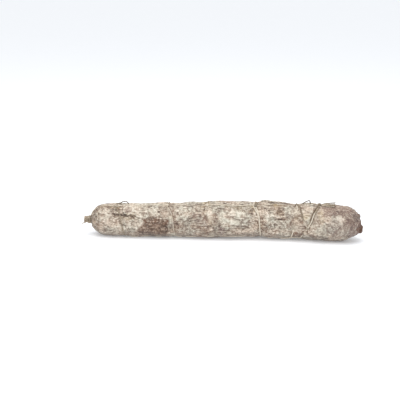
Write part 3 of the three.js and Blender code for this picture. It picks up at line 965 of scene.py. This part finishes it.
    def finish_looks(self) -> None:
        """Adds the ochre stains, and works out every look that the finish reads."""
        seeping = smooth(0.5 + 1.3 * self.coarse.at(self.points + 601, 11.0, 1.8))
        self.mark((0.45 + 0.55 * seeping) * self.strongest(OCHRE_ZONES), ochre=1.0)
        self.mark(seeping * self.near_twine, ochre=0.35)
        casing = 1 - self.nub
        ochre = self.settled("ochre") * casing
        self.mark(ochre, hue=-0.4)
        nub_edge = ring(self.place, 443, 2.2) * bell(wrapped(self.around - 2.0) / 0.9)
        nub_hollow = 0.75 + 0.5 * nub_edge + 0.9 * self.fine.fractal(self.points + 433, 3.6, 3)
        self.looks = {look: self.settled(look) for look in ("mould", "mauve", "red", "calm", "hue")} | {
            # Painted shade in creases, grooves and hollows, with the dark of cracks, spots and the nub.
            "hollow": self.settled("hollow", 2.0) * self.body + self.nub * np.clip(nub_hollow, 0, 1.5),
            "ochre": ochre,
            "worn": self.settled("worn") * casing,
            # Painted shade low on the body, also greying the blunt end's lower front and the rope's bed.
            "low": self.settled("low") * (1 - 0.85 * self.nub),
        }

    def raise_relief(self) -> None:
        """Moves the skin by its relief, presses the nub's face flat, and finds what the twine bears on."""
        relief = self.sums["height"] * self.body + self.sums["lasting"]
        surface = self.points + self.normals * relief[..., None]
        out = from_axis(self.points, np.array(self.nub_face))
        face = rise(out, 6.5, -3.5) * rise(self.place, 436, 3)
        surface[..., 0] += face * np.clip(self.nub_face[0] - surface[..., 0], -1.0, 2.4)
        surface[..., 2] = np.maximum(surface[..., 2], 0.0)
        surface[0] = surface[0].mean(axis=0)
        surface[-1] = surface[-1].mean(axis=0)
        self.surface = surface
        laid = self.points + self.normals * (relief - self.bridge_height * self.bridges)[..., None]
        self.bearing = np.stack([
            blurred(laid[..., i], self.bearing_blur, self.spacing) for i in range(3)
        ], axis=-1)

    def write(self) -> Piece:
        """Carries a sphere's vertices onto the grid, and stores the looks on them.

        Returns:
            The piece.
        """
        bm = bmesh.new()
        bmesh.ops.create_uvsphere(bm, u_segments=self.columns, v_segments=self.rows, radius=1.0)
        bm.verts.ensure_lookup_table()
        ball = np.array([v.co for v in bm.verts])
        row = np.rint(np.arccos(np.clip(ball[:, 2], -1, 1)) / math.pi * self.rows).astype(int)
        column = np.rint(np.arctan2(ball[:, 1], ball[:, 0]) / (2 * math.pi) * self.columns).astype(int)
        column %= self.columns
        for vert, co in zip(bm.verts, self.surface[row, column] * MM):
            vert.co = co
        bmesh.ops.recalc_face_normals(bm, faces=bm.faces)
        piece = save_mesh(self.name, bm)
        for look, values in self.looks.items():
            set_attribute(piece.data, look, values[row, column])
        return piece

    def spot(self, place: Array, angle: Array) -> tuple[Array, Array, Array]:
        """Points on the skin that twine can lie on, the directions square to it, and the mould's cover.

        Args:
            place: Places along the body, short of its blunt end.
            angle: Angles around it in radians.

        Returns:
            The points, the directions and the cover from 0 to 1.
        """
        row = np.interp(place, self.travel, np.arange(self.rows + 1))
        column = np.mod(angle / (2 * math.pi), 1.0) * self.columns
        i, j = np.floor(row).astype(int), np.floor(column).astype(int)
        s, t = (row - i)[..., None], (column - j)[..., None]
        i2, j, j2 = np.minimum(i + 1, self.rows), j % self.columns, (j + 1) % self.columns
        found = []
        for grid in (self.bearing, self.normals, self.bridges[..., None]):
            here = grid[i, j] * (1 - t) + grid[i, j2] * t
            beyond = grid[i2, j] * (1 - t) + grid[i2, j2] * t
            found.append(here * (1 - s) + beyond * s)
        return found[0], unit(found[1]), found[2][..., 0]


def segment_distance(x: Array, y: Array, a: tuple[float, float], b: tuple[float, float]) -> Array:
    """Distances from points to the stretch between two others.

    Args:
        x: First coordinates of the points.
        y: Second coordinates of the points.
        a: Start of the stretch.
        b: End of the stretch.

    Returns:
        The distance of each point.
    """
    step = np.array(b) - np.array(a)
    t = np.clip(((x - a[0]) * step[0] + (y - a[1]) * step[1]) / max(step @ step, 1e-9), 0, 1)
    return np.hypot(x - a[0] - t * step[0], y - a[1] - t * step[1])


def blurred(grid: Array, width: float, spacing: float) -> Array:
    """A grid over the skin, smoothed along and around the body.

    Args:
        grid: One value for each row and column.
        width: Width of the smoothing in millimetres.
        spacing: Spacing of the rows.

    Returns:
        The smoothed grid.
    """
    for axis, step, mode in ((0, spacing, "edge"), (1, 2 * math.pi * BODY_RADIUS / grid.shape[1], "wrap")):
        half = int(3 * width / step)
        weights = bell(np.arange(-half, half + 1) * step / (1.414 * width))
        padding = [(half, half) if i == axis else (0, 0) for i in range(2)]
        wide = np.pad(grid, padding, mode=mode)
        span = grid.shape[axis]
        parts = [w * wide.take(range(i, i + span), axis=axis) for i, w in enumerate(weights)]
        grid = sum(parts) / weights.sum()
    return grid


def grid_normals(points: Array) -> Array:
    """Outward directions square to a grid of points around a body.

    Args:
        points: The points, row by row.

    Returns:
        The direction at each point.
    """
    around = np.roll(points, -1, axis=1) - np.roll(points, 1, axis=1)
    along = np.gradient(points, axis=0)
    normals = unit(np.cross(around, along))
    normals[0], normals[-1] = (-1, 0, 0), (1, 0, 0)
    return normals


@dataclass(frozen=True)
class MouldTones:
    """Colours of the casing from bare skin to thick mould, as sRGB bytes."""

    deep: Colour
    bare: Colour
    thin: Colour
    grey: Colour
    cream: Colour
    thick: Colour

    def stops(self) -> tuple[tuple[float, Colour], ...]:
        """The colours with the cover of mould at which each stands."""
        tones = (self.deep, self.bare, self.thin, self.grey, self.cream, self.thick)
        return tuple(zip((0.0, 0.2, 0.38, 0.55, 0.76, 1.0), tones))


@dataclass(frozen=True)
class CasingFinish:
    """Natural casing: bare brown skin under a dry crust of mould."""

    warm: MouldTones = MouldTones(
        (96, 74, 60), (138, 114, 96), (164, 142, 124), (186, 167, 149), (211, 193, 174), (233, 220, 205)
    )
    cool: MouldTones = MouldTones(
        (84, 74, 65), (120, 106, 94), (147, 134, 120), (168, 158, 144), (193, 185, 168), (219, 214, 199)
    )
    mauve: Colour = (132, 110, 104)
    red: Colour = (122, 82, 60)
    ochre: Colour = (172, 150, 112)
    # Painted shade in creases, grooves and hollows, and the dark of cracks and spots in the mould.
    crevice: Colour = (70, 55, 45)
    # Painted shade low on the body, which also greys the blunt end's lower front and the rope's bed.
    shaded: Colour = (150, 142, 135)

    def material(self) -> bpy.types.Material:
        """Makes the casing's material.

        Returns:
            The material.
        """
        f = Finish("casing_mouldy")
        grain = f.stretched(1.7)
        mould, hollow = f.attribute("mould"), f.attribute("hollow")
        blotches = f.noise(6.0, 4, 0.7, 0.8, grain)
        flecks = f.ranged(f.noise(4.0, 2, 0.6, 0.5), 0.4, 0.6)
        speckles = f.noise(2.6, 3, 0.75, 0.3)
        lively = f.maths("SUBTRACT", 1.0, f.times(f.attribute("calm"), 0.85))
        mottling = f.maths("SUBTRACT", f.total((0.85, blotches), (0.34, flecks), (1.25, speckles)), 1.225)
        cover = f.total(mould, f.times(mottling, lively), (-0.34, hollow))
        tint = f.maths("SUBTRACT", f.total(f.attribute("hue"), (1.1, f.noise(6, 2, 0.6, 0.5))), 0.55)
        colour = f.mixed(tint, f.ramp(cover, self.warm.stops()), f.ramp(cover, self.cool.stops()))
        thinness = f.ranged(cover, 0.25, 0.85, 1.0, 0.35)
        patchy = f.ranged(f.noise(9, 3, 0.65, 0.5, grain), 0.35, 0.65, 0.15, 0.75)
        bareness = f.ranged(cover, 0.1, 0.6, 0.85, 0.12)
        for amount, shade in (
            (f.times(f.attribute("mauve"), thinness, 0.8), self.mauve),
            (f.times(f.attribute("ochre"), patchy), self.ochre),
            (f.times(f.attribute("red"), bareness), self.red),
            *self.strokes(f, mould, lively),
            # Painted shade: low on the body the colour is dulled towards grey.
            (f.times(f.attribute("low"), 0.45), self.shaded),
            # Painted shade in creases, grooves and hollows, over the dark of cracks and spots.
            (f.times(hollow, 0.46), self.crevice),
        ):
            colour = f.mixed(amount, colour, linear(shade))
        f.dress({
            "Base Color": colour, "Roughness": f.ranged(cover, 0.1, 0.6, 0.62, 0.95),
            "Specular IOR Level": 0.3, "Sheen Weight": 0.12,
        })
        f.bump(f.total((0.6, speckles), (0.3, flecks), (0.5, f.ranged(cover, 0.2, 0.7))), 0.7, 0.9)
        return f.material

    def strokes(self, f: Finish, mould: Socket, lively: Socket) -> list[tuple[Socket, Colour]]:
        """Scatters small pale dabs where the mould is thick, and dark ones on wear and painted shade.

        Args:
            f: The casing's finish.
            mould: Its cover of mould.
            lively: How strongly it is mottled.

        Returns:
            The amount and colour of each kind of dab, in the order in which they lie.
        """
        along, athwart = f.stretched(3.2, (0.1, 0, 0)), f.stretched(0.5, (0, 0.2, 0.15))
        worn = f.attribute("worn")
        layers = []
        for pale, size, radius, at, most, shade in (
            (True, 3.1, 0.28, None, 0.9, self.warm.thick), (True, 2.4, 0.36, athwart, 0.75, self.cool.thick),
            (False, 2.7, 0.3, None, 0.7, self.warm.bare), (False, 2.1, 0.32, along, 0.75, self.warm.deep),
        ):
            dabs = f.ranged(f.cells(size, at), radius / 2, radius, most, 0)
            clusters = f.noise(7 + size, 2)
            if pale:
                there = f.times(f.ranged(clusters, 0.44, 0.58), f.ranged(mould, 0.1, 0.5, 0.25, 1))
            else:
                there = f.ranged(f.total(clusters, (0.14, worn)), 0.46, 0.6)
            layers.append((f.times(dabs, there, lively), shade))
        return layers


@dataclass(frozen=True)
class HempFinish:
    """Hemp twine, ochre where it is clean and pale under mould."""

    dark: Colour = (104, 88, 70)
    plain: Colour = (162, 146, 124)
    pale: Colour = (194, 180, 158)
    mould: Colour = (218, 207, 190)

    def material(self) -> bpy.types.Material:
        """Makes the twine's material.

        Returns:
            The material.
        """
        f = Finish("hemp_twisted")
        fibres = f.noise(0.55, 4, 0.65, 0.4, f.stretched(3.0))
        tone = f.total((0.7, fibres), (0.6, f.noise(9, 3, 0.6)), (-0.25, f.attribute("soiled")))
        colour = f.ramp(tone, ((0.3, self.dark), (0.55, self.plain), (0.85, self.pale)))
        crust = f.total(f.attribute("dust"), (0.9, f.noise(3.2, 4, 0.65, 0.5)), (0.3, fibres))
        covered = f.ranged(crust, 0.7, 1.15)
        f.dress({
            "Base Color": f.mixed(covered, colour, linear(self.mould)),
            "Roughness": f.ranged(fibres, 0.3, 0.7, 0.95, 0.78),
            "Specular IOR Level": 0.25, "Sheen Weight": 0.15,
        })
        f.bump(f.total((0.7, fibres), (0.4, covered)), 0.25, 0.7)
        return f.material


@dataclass
class Strand:
    """A length of string along a path.

    Its path and the directions away from what it lies on are arrays of points in millimetres.
    """

    path: Array
    away: Array
    radius: float = 1.0
    plies: int = 3
    dust: float | Array = 0.35
    soiled: float | Array = 0.3
    phase: float = 0.0


@dataclass
class Ropewalk:
    """Twists strands into one piece."""

    pitch: float = 7.0
    step: float = 0.9
    ply_share: float = 0.54
    clearance: float = 0.03

    def resampled(self, strand: Strand) -> tuple[Array, Array, Array]:
        """Divides a strand's path into even steps.

        Args:
            strand: The strand.

        Returns:
            Its path, its directions and the lengths along it.
        """
        steps = np.linalg.norm(np.diff(strand.path, axis=0), axis=1)
        length = np.concatenate([[0], np.cumsum(steps)])
        even = np.linspace(0, length[-1], max(3, int(length[-1] / self.step) + 1))
        path, away = (
            np.stack([np.interp(even, length, grid[:, i]) for i in range(3)], axis=-1)
            for grid in (strand.path, strand.away)
        )
        return path, away, even

    def ply_paths(self, strand: Strand) -> list[Array]:
        """Winds a strand's plies round its middle.

        Args:
            strand: The strand.

        Returns:
            The path of each ply.
        """
        path, away, along = self.resampled(strand)
        if strand.plies == 1:
            return [path]
        ahead = unit(np.gradient(path, axis=0))
        up = unit(away - (away * ahead).sum(axis=1, keepdims=True) * ahead)
        side = np.cross(ahead, up)
        paths = []
        for ply in range(strand.plies):
            turn = 2 * math.pi * (along / self.pitch + ply / strand.plies) + strand.phase
            offset = 0.5 * strand.radius * (np.cos(turn)[:, None] * up + np.sin(turn)[:, None] * side)
            paths.append(path + offset)
        return paths

    def twist(self, name: str, strands: list[Strand]) -> Piece:
        """Makes one piece of many strands.

        Args:
            name: Name of the piece.
            strands: What it is made of.

        Returns:
            The piece, with its dust and dirt stored on it.
        """
        curve = bpy.data.curves.new(name + "_course", "CURVE")
        curve.dimensions = "3D"
        curve.bevel_depth = MM
        curve.bevel_resolution = 1
        curve.use_fill_caps = True
        marks = []
        for strand in strands:
            thickness = strand.radius * (self.ply_share if strand.plies > 1 else 1.0)
            for path in self.ply_paths(strand):
                path[:, 2] = np.maximum(path[:, 2], thickness + self.clearance)
                spline = curve.splines.new("POLY")
                spline.points.add(len(path) - 1)
                spline.points.foreach_set("co", np.c_[path * MM, np.ones(len(path))].ravel())
                spline.points.foreach_set("radius", np.full(len(path), thickness))
                along = np.linspace(0, 1, len(path))
                dust, soiled = (
                    np.interp(along, np.linspace(0, 1, np.size(look)), np.ravel(look))
                    for look in (strand.dust, strand.soiled)
                )
                marks += zip(path * MM, dust, soiled)
        carrier = bpy.data.objects.new(name + "_course", curve)
        mesh = bpy.data.meshes.new_from_object(carrier)
        bpy.data.objects.remove(carrier)
        bpy.data.curves.remove(curve)
        mesh.name = name
        tree = KDTree(len(marks))
        for i, mark in enumerate(marks):
            tree.insert(mark[0], i)
        tree.balance()
        nearest = [marks[tree.find(vertex.co)[1]] for vertex in mesh.vertices]
        set_attribute(mesh, "dust", np.array([mark[1] for mark in nearest]))
        set_attribute(mesh, "soiled", np.array([mark[2] for mark in nearest]))
        return linked(mesh)


@dataclass
class Tie:
    """All the string on the salami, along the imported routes."""

    skin: Skin
    node: str = "twine"
    radius: float = 1.0
    lift: float = 0.75
    sinking: float = 1.25
    neck_middle: float = 9.4
    neck_radius: float = 4.9
    wraps: int = 3
    tail_end: float = 402.5
    knot_size: float = 2.2
    meeting_angle: float = 98.0
    drawn_route: Rows = ((346.5, 24), (348.8, 40), (351, 62), (355, 80))
    tail_ends: Rows = (
        (-0.6, 0.6, 2.8, 0.8), (0.3, 1.2, 3.4, 0), (1.3, 0.3, 2.6, 0.6), (2.4, 0.2, 1.6, 0.2),
        (3.2, 0.1, 0.8, 1.4),
    )
    neck_ends: Rows = ((62, 11, 7), (98, 10, 11))
    neck_end_start: float = 5.2
    standing_loops: Rows = ((59.5, 73.5, 4.2, 0), (350, 364, 4.9, 4.5))
    seed: int = 5

    def build(self) -> list[Piece]:
        """Makes every piece of string.

        Returns:
            The pieces.
        """
        walk = Ropewalk()
        turns = [self.turn(t) for t in TURNS]
        runs = [self.top_run(), self.lower_run(), *self.drawn_strands()]
        knots = [self.knot(t.knot(), 0.15 + 0.45 * t.buried, i) for i, t in enumerate(TURNS)]
        knots.append(self.knot(self.meeting(), 0.3, 9, 0.8))
        return [
            walk.twist("twine_turns", turns),
            walk.twist("twine_runs", runs),
            walk.twist("twine_knots", knots),
            walk.twist("twine_tail", self.tail()),
            walk.twist("twine_neck", self.neck()),
            Ropewalk(step=0.7).twist("twine_loose_fibres", self.loops() + self.fibres(turns + runs)),
        ]

    def over_skin(
        self, place: Array, degrees: float | Array, more: float | Array = 0.0, **looks: float | Array
    ) -> Strand:
        """Lays a strand on the skin.

        Args:
            place: Places along its route.
            degrees: Angles along its route.
            more: Height above where it would lie.
            looks: Further fields of the strand.

        Returns:
            The strand.
        """
        spots, away, cover = self.skin.spot(np.asarray(place, float), np.radians(degrees))
        radius = looks.get("radius", self.radius)
        height = self.lift * radius / self.radius + more - self.sinking * cover
        path = spots + away * np.asarray(height)[..., None]
        path[:, 2] = np.maximum(path[:, 2], radius + 0.1)
        return Strand(path, away, **looks)

    def turn(self, turn: Turn) -> Strand:
        """Lays one turn round the body, from its knot back to its knot.

        Args:
            turn: The turn.

        Returns:
            Its strand.
        """
        degrees = turn.knot_angle + np.linspace(1, 359, 240)
        angle = np.radians(degrees)
        dust = turn.dust + 0.35 * turn.cover(angle)
        dust = dust - turn.top_soil * bell(wrapped(angle - math.radians(22)) / math.radians(24))
        return self.over_skin(turn.at(angle), degrees, dust=dust, soiled=0.9 - turn.dust, phase=turn.place)

    def top_run(self) -> Strand:
        """Lays the run along the top, from the neck through every knot.

        Returns:
            Its strand.
        """
        place = 14 + (TURNS[-1].knot()[0] - 14) * np.linspace(0, 1, 400) ** 1.2
        degrees = TOP_RUN.at(place) + 1.3 * np.sin(place / 7.3) + 0.9 * np.sin(place / 3.7)
        strand = self.over_skin(place, degrees, dust=0.42, soiled=0.45)
        start = self.skin.spine.at(self.neck_middle) + outward(np.radians(18)) * 5.6
        strand.path = np.vstack([start, strand.path])
        strand.away = np.vstack([strand.away[:1], strand.away])
        return strand

    def lower_run(self) -> Strand:
        """Lays the run along the lower front, from the first turn to the last.

        Returns:
            Its strand.
        """
        ends = [t.at(np.radians(LOWER_RUN.at(np.float64(t.place)))) for t in (TURNS[0], TURNS[-1])]
        place = np.linspace(*ends, 360)
        return self.over_skin(place, LOWER_RUN.at(place), dust=0.5, phase=1.0)

    def meeting(self) -> tuple[float, float]:
        """Where the drawn strand meets the last turn."""
        return float(TURNS[-1].at(np.radians(self.meeting_angle))), self.meeting_angle

    def drawn_strands(self) -> list[Strand]:
        """Lays the strand that draws the last two turns together, and the doubled stretches of two turns.

        Returns:
            The three strands.
        """
        spots = (TURNS[-2].knot(), *self.drawn_route, self.meeting())
        t = np.linspace(0, 1, 90)
        place, degrees = (np.interp(t, np.linspace(0, 1, len(spots)), values) for values in zip(*spots))
        drawn = self.over_skin(
            place, degrees, -0.55 - 0.5 * t, dust=0.5 * smooth(2 * t - 0.9), soiled=1.2 - 0.6 * t, radius=1.1
        )
        degrees = 4 + 94 * t
        beside_last = self.over_skin(
            TURNS[-1].at(np.radians(degrees)) - 2.6 * np.sin(math.pi * t), degrees,
            dust=-0.3 + 0.7 * smooth(2 * t - 1), soiled=1.9 - 1.2 * t,
        )
        degrees = degrees * 0.62
        beside_fourth = self.over_skin(
            TURNS[3].at(np.radians(degrees)) - 3.2 * np.sin(math.pi * t), degrees, dust=0.6
        )
        return [drawn, beside_last, beside_fourth]

    def knot(self, spot: tuple[float, float], dust: float, index: int, size: float = 1.0) -> Strand:
        """Ties a knot: the strand loops through itself in a flattened trefoil.

        Args:
            spot: Place and angle of the knot in degrees.
            dust: How much mould is on it.
            index: Number of the knot, which turns it its own way.
            size: Its size beside that of a plain knot.

        Returns:
            The looped strand.
        """
        centre, away, _ = self.skin.spot(np.array([spot[0]]), np.radians([spot[1]]))
        ahead = np.array([1.0, 0.0, 0.0])
        side = unit(np.cross(away[0], ahead))
        t = np.linspace(0, 2 * math.pi, 60) + 0.3
        x, y = np.sin(t) + 2 * np.sin(2 * t), np.cos(t) - 2 * np.cos(2 * t)
        c, s = math.cos(1.3 * index), math.sin(1.3 * index)
        scale = self.knot_size * size / 3
        path = centre + away * (1.15 * size + 0.6) + scale * (
            1.15 * (c * x - s * y)[:, None] * ahead + (s * x + c * y)[:, None] * side
            + 1.1 * -np.sin(3 * t)[:, None] * away
        )
        return Strand(path, np.broadcast_to(away, path.shape).copy(), 0.85 * size, 3, dust, 1.2 - dust)

    def tail(self) -> list[Strand]:
        """Lays the bundle of cut ends along the top beyond the last knot.

        Returns:
            Their strands.
        """
        start, degrees = TURNS[-1].knot()
        t = np.linspace(0, 1, 40)
        fanned = smooth(2 * t)
        strands = []
        for i, (side, stacked, climb, shorter) in enumerate(self.tail_ends):
            place = start + (self.tail_end - shorter - start) * t
            strands.append(self.over_skin(
                place, degrees + 4 * side * fanned, stacked * fanned + climb * t ** 1.5,
                radius=0.95, dust=0.3 - 0.32 * (i % 2), soiled=0.85, phase=1.7 * i,
            ))
        return strands

    def neck(self) -> list[Strand]:
        """Winds the string round the neck, with its two cut ends.

        Returns:
            Their strands.
        """
        t = np.linspace(0, 1, 150)
        angle = 2 * math.pi * self.wraps * t
        place = self.neck_middle + (t - 0.5) * 2 * self.radius * self.wraps * 0.98
        away = outward(angle)
        strands = [Strand(self.skin.spine.at(place) + away * (self.neck_radius + 0.9), away, 0.95, dust=0.2)]
        t = np.linspace(0, 1, 24)
        for degrees, length, back in self.neck_ends:
            out = self.neck_end_start + (length - self.neck_end_start) * t
            reach = np.outer(out, outward(np.radians(degrees)))
            path = self.skin.spine.at(self.neck_middle) + reach - np.outer(t * t, (back, 0, 3))
            strands.append(Strand(path, np.tile([0.0, 0.0, 1.0], (24, 1)), 0.9, dust=0.15, soiled=0.5))
        return strands

    def loops(self) -> list[Strand]:
        """Lays the thin loops and tufts of loose string that stand up along the top.

        Returns:
            Their strands.
        """
        t = np.linspace(0, 1, 24)
        strands = []
        for start, end, height, lean in self.standing_loops:
            strands.append(self.over_skin(
                start + (end - start) * t + lean * np.sin(math.pi * t) ** 2, np.full_like(t, 8),
                height * (1 - np.abs(2 * t ** 1.2 - 1) ** 2.6), radius=0.95, plies=2, dust=-0.05, soiled=1.2,
            ))
        strands.append(self.over_skin(
            np.linspace(285.5, 306, 24), 1 + 9 * t, 0.5 + 1.3 * np.sin(math.pi * t),
            radius=0.9, dust=0.3, soiled=0.9,
        ))
        t = np.linspace(0, 1, 8)
        for turn, lean in ((TURNS[1], 1.5), (TURNS[2], -1.0), (TURNS[3], 2.5)):
            place, degrees = turn.knot()
            for k in range(3):
                strands.append(self.over_skin(
                    place + (lean + 3.2 * (k - 1)) * t, degrees - (8 + 3 * k) * t, 0.8 + (4.2 - 1.2 * k) * t,
                    radius=0.65, plies=1, dust=0.1, soiled=0.8,
                ))
        return strands

    def fibres(self, strands: list[Strand]) -> list[Strand]:
        """Raises hairs off the string.

        Args:
            strands: The strands that they stand on.

        Returns:
            The strands of the hairs.
        """
        random = np.random.default_rng(self.seed)
        t = np.linspace(0, 1, 5)[:, None]
        hairs = []
        for strand in strands:
            for _ in range(int(len(strand.path) * 0.2)):
                i = random.integers(2, len(strand.path) - 2)
                away = unit(strand.away[i] + 0.5 * random.normal(size=3))
                ahead = unit(strand.path[i + 1] - strand.path[i - 1]) * random.choice((-1, 1))
                length = random.uniform(1.5, 4.5)
                curl = 0.2 * random.normal(size=3)
                path = 0.75 * ahead * t + 0.45 * away * t * (1.3 - 0.6 * t) + curl * t * t
                path = strand.path[i] + length * path
                path[:, 2] = np.maximum(path[:, 2], 0.2)
                hairs.append(Strand(path, np.tile(strand.away[i], (5, 1)), 0.07, 1, 0.1, 0.2))
        return hairs


@dataclass(frozen=True)
class Studio:
    """A pale floor, soft overhead light and the camera."""

    azimuth: float = 5.0
    elevation: float = 15.0
    distance: float = 1.5
    lens: float = 84.0
    middle: tuple[float, float, float] = (0.0, 0.0, 0.028)
    middle_pixel: tuple[float, float] = (221.4, 219.3)
    picture: float = 400.0
    sensor: float = 36.0
    floor_size: float = 30.0
    floor_drop: float = 0.00005
    floor_glow: float = 0.17
    room_light: float = 0.87
    lamp_size: float = 1.6
    lamp_power: float = 17.5
    lamp_place: tuple[float, float, float] = (-0.1, -0.25, 1.5)

    def build(self) -> None:
        """Sets up the floor, the light and the camera."""
        self.floor()
        self.light()
        self.camera()

    def floor(self) -> None:
        """Lays a wide pale floor."""
        bm = bmesh.new()
        bmesh.ops.create_grid(bm, x_segments=1, y_segments=1, size=self.floor_size / 2)
        bmesh.ops.translate(bm, vec=(0, 0, -self.floor_drop), verts=bm.verts)
        floor = save_mesh("floor", bm)
        f = Finish("floor_pale")
        f.dress({
            "Base Color": (0.87, 0.885, 0.91, 1), "Roughness": 0.9, "Specular IOR Level": 0.1,
            "Emission Color": (1, 1, 1, 1), "Emission Strength": self.floor_glow,
        })
        floor.data.materials.append(f.material)

    def light(self) -> None:
        """Hangs a broad soft light overhead in a white room."""
        world = bpy.data.worlds.new("white_room")
        world.use_nodes = True
        background = world.node_tree.nodes["Background"]
        background.inputs["Color"].default_value = (0.965, 0.982, 1, 1)
        background.inputs["Strength"].default_value = self.room_light
        bpy.context.scene.world = world
        lamp = bpy.data.lights.new("overhead", "AREA")
        lamp.size = self.lamp_size
        lamp.energy = self.lamp_power
        light = bpy.data.objects.new("overhead", lamp)
        light.location = self.lamp_place
        light.rotation_euler = (-light.location).to_track_quat("-Z", "Y").to_euler()
        bpy.context.scene.collection.objects.link(light)
        bpy.context.scene.view_settings.view_transform = "Standard"

    def camera(self) -> None:
        """Aims the camera from the photograph's angle."""
        a, e = math.radians(self.azimuth), math.radians(self.elevation)
        back = Vector((math.sin(a) * math.cos(e), -math.cos(a) * math.cos(e), math.sin(e)))
        turn = back.to_track_quat("Z", "Y")
        right, up = turn @ Vector((1, 0, 0)), turn @ Vector((0, 1, 0))
        scale = self.distance * self.sensor / self.lens / self.picture
        aside, below = ((pixel - self.picture / 2) * scale for pixel in self.middle_pixel)
        data = bpy.data.cameras.new("camera")
        data.lens = self.lens
        data.sensor_width = self.sensor
        camera = bpy.data.objects.new("camera", data)
        camera.location = Vector(self.middle) - right * aside + up * below + back * self.distance
        camera.rotation_euler = turn.to_euler()
        bpy.context.scene.collection.objects.link(camera)
        bpy.context.scene.camera = camera


def main() -> None:
    """Builds the studio, the casing and the string."""
    logging.basicConfig(level=logging.INFO, format="%(name)s: %(message)s")
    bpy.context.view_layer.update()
    Studio().build()
    skin = Skin()
    casing = skin.build()
    settle(casing, skin.node, CasingFinish().material())
    tie = Tie(skin)
    hemp = HempFinish().material()
    for piece in tie.build():
        settle(piece, tie.node, hemp)


if __name__ == "__main__":
    main()
